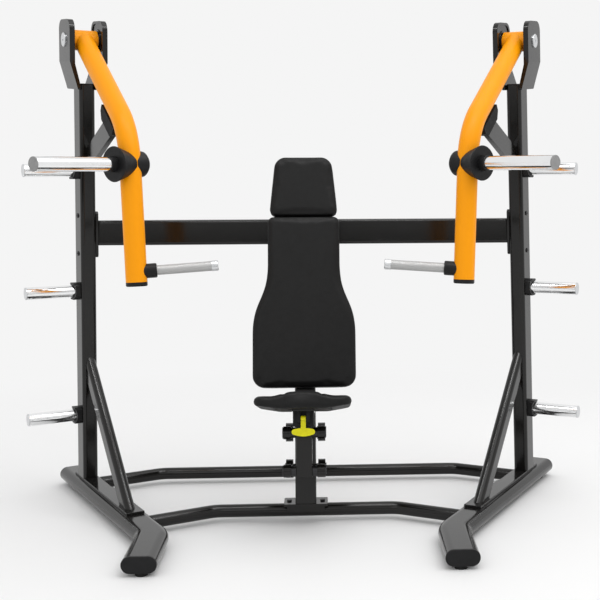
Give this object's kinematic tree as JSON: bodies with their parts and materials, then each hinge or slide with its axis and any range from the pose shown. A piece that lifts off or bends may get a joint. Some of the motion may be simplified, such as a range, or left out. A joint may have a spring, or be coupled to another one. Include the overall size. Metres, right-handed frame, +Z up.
{
  "type": "chest press machine",
  "caption": "Plate-loaded seated chest press: two splayed upright frames, swinging press arms with weight horns and handles, padded back rest and adjustable seat",
  "frame": {"origin": "on the floor at the middle of the machine's bounding box", "axes": "+X to the right facing the machine, -Y to the front, where the user sits, +Z up"},
  "size_m": [2.2604, 1.2225, 1.93],
  "materials": {
    "black_paint": "gloss powder coat on welded steel tube",
    "black_moulding": "moulded black plastic with a fine grain",
    "rubber_foot": "matt black rubber",
    "chrome_plate": "bright chrome plate",
    "bright_steel": "zinc plated or machined steel",
    "black_steel": "blackened steel",
    "orange_paint": "gloss orange powder coat",
    "grey_grip": "knurled light grey grip",
    "grey_cap": "moulded grey plastic",
    "black_upholstery": "black synthetic leather over foam",
    "board": "plywood backing painted black",
    "yellow_lever": "gloss yellow moulded plastic"
  },
  "bodies": {
    "frame": {"base_rail_left": "black_paint", "base_rail_right": "black_paint", "rail_top_plates": "black_paint", "front_cross_tube": "black_paint", "rear_cross_tube": "black_paint", "upright_left": "black_paint", "upright_right": "black_paint", "front_braces": "black_paint", "stop_arms": "black_paint", "fork_plates_left": "black_paint", "fork_plates_right": "black_paint", "crossbar": "black_paint", "crossbar_flanges": "black_paint", "spine": "black_paint", "spine_base_plate": "black_paint", "cross_tube_saddle": "black_paint", "pad_brackets": "black_paint", "rail_end_caps": "black_moulding", "upright_top_caps": "black_moulding", "peg_collars": "black_moulding", "rubber_feet": "rubber_foot", "stop_bumpers": "rubber_foot", "storage_pegs": "chrome_plate", "pivot_shafts": "bright_steel", "pivot_shaft_caps": "bright_steel", "peg_end_caps": "bright_steel", "pivot_spacers": "black_steel", "frame_bolts": "black_steel", "back_pad": "black_upholstery", "head_pad": "black_upholstery", "pad_boards": "board"},
    "arm_left": {"arm_tube_left": "orange_paint", "arm_bearings_left": "bright_steel", "arm_end_cap_left": "black_moulding", "weight_horn_left": "chrome_plate", "horn_end_cap_left": "grey_cap", "horn_bumper_left": "black_moulding", "horn_saddle_cap_left": "black_moulding", "handle_collar_left": "black_moulding", "handle_bar_left": "grey_grip", "handle_end_cap_left": "bright_steel"},
    "arm_right": {"arm_tube_right": "orange_paint", "arm_bearings_right": "bright_steel", "arm_end_cap_right": "black_moulding", "weight_horn_right": "chrome_plate", "horn_end_cap_right": "grey_cap", "horn_bumper_right": "black_moulding", "horn_saddle_cap_right": "black_moulding", "handle_collar_right": "black_moulding", "handle_bar_right": "grey_grip", "handle_end_cap_right": "bright_steel"},
    "seat_link_upper": {"upper_links": "black_paint", "upper_link_axles": "black_steel"},
    "seat_link_lower": {"lower_links": "black_paint", "lower_link_axles": "black_steel"},
    "seat_carriage": {"seat_frame": "black_paint", "seat_board": "board", "seat_pad": "black_upholstery", "release_housing": "black_moulding"},
    "release_lever": {"release_lever": "yellow_lever"}
  },
  "joints": [
    {"name": "arm_left_hinge", "type": "hinge", "parent": "frame", "child": "arm_left", "pos_m": [-0.84988, 0.26013, 1.85], "axis": [-0.8829, -0.4695, 0], "range_deg": [0, 42]},
    {"name": "arm_right_hinge", "type": "hinge", "parent": "frame", "child": "arm_right", "pos_m": [0.84988, 0.26013, 1.85], "axis": [-0.8829, 0.4695, 0], "range_deg": [0, 42]},
    {"name": "seat_link_upper_hinge", "type": "hinge", "parent": "frame", "child": "seat_link_upper", "pos_m": [0, 0.04418, 0.33207], "axis": [1, 0, 0], "range_deg": [0, 18]},
    {"name": "seat_link_lower_hinge", "type": "hinge", "parent": "frame", "child": "seat_link_lower", "pos_m": [0, 0.00913, 0.19653], "axis": [1, 0, 0], "range_deg": [0, 18]},
    {"name": "seat_carriage_hinge", "type": "hinge", "parent": "seat_link_upper", "child": "seat_carriage", "pos_m": [0, -0.16863, 0.37988], "axis": [1, 0, 0], "range_deg": [-18, 0]},
    {"name": "release_lever_hinge", "type": "hinge", "parent": "seat_carriage", "child": "release_lever", "pos_m": [0, -0.2568, 0.45433], "axis": [-1, 0, 0], "range_deg": [0, 14], "stiffness_Nm_per_rad": 1}
  ],
  "couplings": [
    {"joint": "seat_link_lower_hinge", "follows": "seat_link_upper_hinge", "ratio": 1},
    {"joint": "seat_carriage_hinge", "follows": "seat_link_upper_hinge", "ratio": -1}
  ]
}
